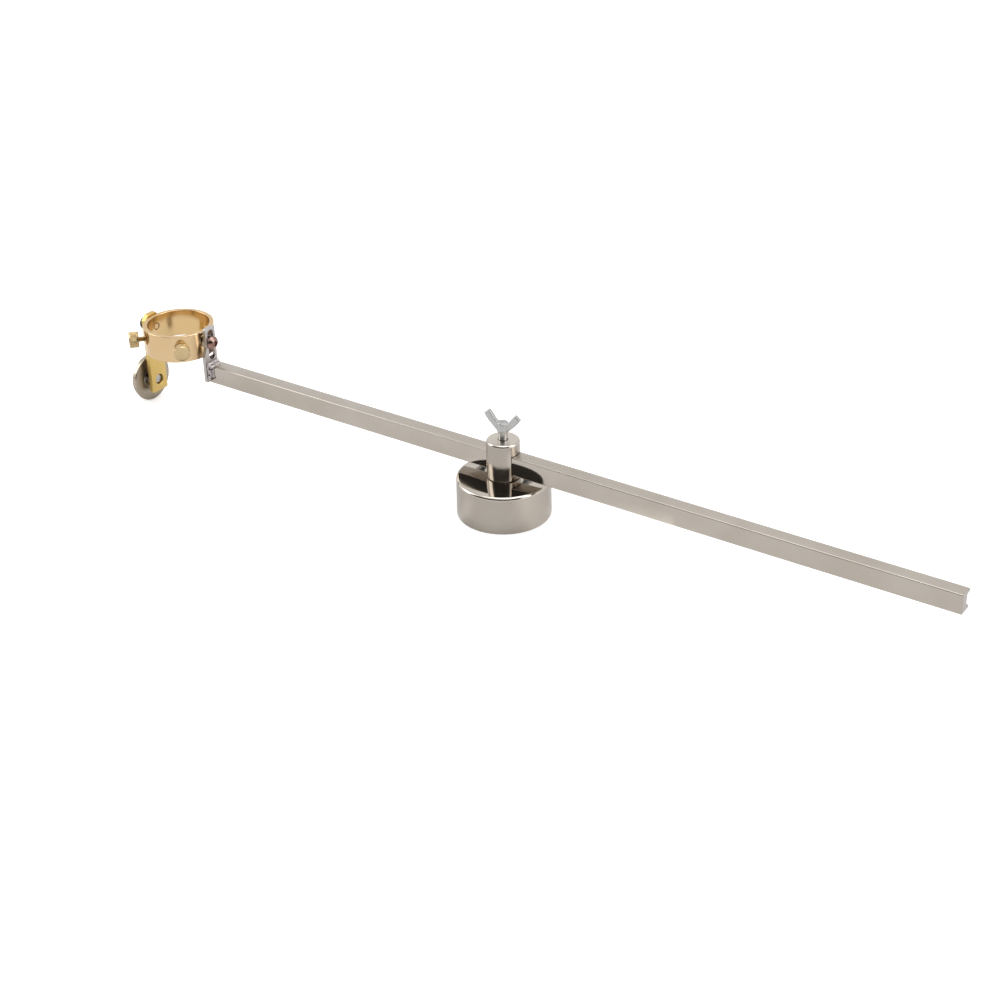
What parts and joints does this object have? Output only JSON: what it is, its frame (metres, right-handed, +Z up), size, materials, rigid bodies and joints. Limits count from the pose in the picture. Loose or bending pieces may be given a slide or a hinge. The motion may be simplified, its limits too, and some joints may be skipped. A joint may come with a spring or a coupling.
{
  "type": "plasma circle cutting guide",
  "caption": "Magnetic circle cutting guide: bar sliding through a turning post, with a slotted riser, torch ring and guide wheel at its end.",
  "frame": {"origin": "centre of the magnet base's underside, where the post's turning axis meets the work", "axes": "+X along the bar towards its free end, +Z up along the post's turning axis, the torch ring lies at -X"},
  "size_m": [0.5112, 0.05, 0.0585],
  "materials": {
    "base_cup": "bright nickel plate on steel, lightly brushed on the bar",
    "post": "bright nickel plate on steel, lightly brushed on the bar",
    "rail": "bright nickel plate on steel, lightly brushed on the bar",
    "magnet_disc": "unplated ferrite magnet, matt charcoal",
    "potting_ring": "black epoxy resin",
    "pivot_outer_race": "ground bearing steel",
    "pivot_inner_race": "ground bearing steel",
    "pivot_ball_cage": "ground bearing steel",
    "wheel_outer_race": "ground bearing steel",
    "wheel_inner_race": "ground bearing steel",
    "wheel_ball_cage": "ground bearing steel",
    "pivot_retaining_ring": "dark spring steel",
    "pivot_washer": "zinc plate",
    "pivot_screw": "black oxide steel",
    "wing_screw": "bright zinc plate",
    "riser_plate": "satin nickel plate on steel",
    "weld_bead": "plated weld metal, uneven",
    "torch_ring": "polished, warm copper-toned brass",
    "ring_screw": "bright plated steel with a copper tint",
    "ring_washer": "plain steel",
    "bracket_screw": "dark steel",
    "thumb_screw_right": "pale brass, knurled head",
    "thumb_screw_left": "pale brass, knurled head",
    "wheel_bracket": "yellow zinc plate on steel",
    "wheel_axle": "dark steel",
    "wheel_spacer": "turned steel",
    "wheel_disc": "polished steel"
  },
  "bodies": {
    "base": {"base_cup": "base_cup", "magnet_disc": "magnet_disc", "potting_ring": "potting_ring", "pivot_outer_race": "pivot_outer_race", "pivot_retaining_ring": "pivot_retaining_ring"},
    "turning_post": {"post": "post", "pivot_inner_race": "pivot_inner_race", "pivot_washer": "pivot_washer", "pivot_screw": "pivot_screw"},
    "pivot_cage": {"pivot_ball_cage": "pivot_ball_cage"},
    "clamp_wing": {"wing_screw": "wing_screw"},
    "bar": {"rail": "rail", "riser_plate": "riser_plate", "weld_bead": "weld_bead"},
    "torch_holder": {"torch_ring": "torch_ring", "ring_screw": "ring_screw", "ring_washer": "ring_washer", "bracket_screw": "bracket_screw", "wheel_bracket": "wheel_bracket", "wheel_axle": "wheel_axle", "wheel_spacer": "wheel_spacer", "wheel_inner_race": "wheel_inner_race"},
    "thumb_right": {"thumb_screw_right": "thumb_screw_right"},
    "thumb_left": {"thumb_screw_left": "thumb_screw_left"},
    "wheel": {"wheel_disc": "wheel_disc", "wheel_outer_race": "wheel_outer_race"},
    "wheel_cage": {"wheel_ball_cage": "wheel_ball_cage"}
  },
  "joints": [
    {"name": "post_turn", "type": "hinge", "parent": "base", "child": "turning_post", "pos_m": [0, 0, 0.0151], "axis": [0, 0, 1], "continuous": true},
    {"name": "pivot_cage_turn", "type": "hinge", "parent": "base", "child": "pivot_cage", "pos_m": [0, 0, 0.0151], "axis": [0, 0, 1], "continuous": true},
    {"name": "wing_turn", "type": "hinge", "parent": "turning_post", "child": "clamp_wing", "pos_m": [0, 0, 0.0465], "axis": [0, 0, 1], "range_deg": [0, 540]},
    {"name": "bar_slide", "type": "slide", "parent": "turning_post", "child": "bar", "axis": [1, 0, 0], "range_m": [-0.235, 0.183]},
    {"name": "ring_lift", "type": "slide", "parent": "bar", "child": "torch_holder", "axis": [0, 0, 1], "range_m": [-0.0055, 0.0053]},
    {"name": "thumb_right_slide", "type": "slide", "parent": "torch_holder", "child": "thumb_right", "axis": [-0.7071, 0.7071, 0], "range_m": [-0.003, 0]},
    {"name": "thumb_left_slide", "type": "slide", "parent": "torch_holder", "child": "thumb_left", "axis": [0.7071, 0.7071, 0], "range_m": [-0.0003, 0.003]},
    {"name": "wheel_spin", "type": "hinge", "parent": "torch_holder", "child": "wheel", "pos_m": [-0.2516, 0, 0.014], "axis": [1, 0, 0], "continuous": true},
    {"name": "wheel_cage_spin", "type": "hinge", "parent": "torch_holder", "child": "wheel_cage", "pos_m": [-0.2516, 0, 0.014], "axis": [1, 0, 0], "continuous": true}
  ],
  "couplings": [
    {"joint": "pivot_cage_turn", "follows": "post_turn", "ratio": 0.36},
    {"joint": "wheel_cage_spin", "follows": "wheel_spin", "ratio": 0.6122}
  ]
}
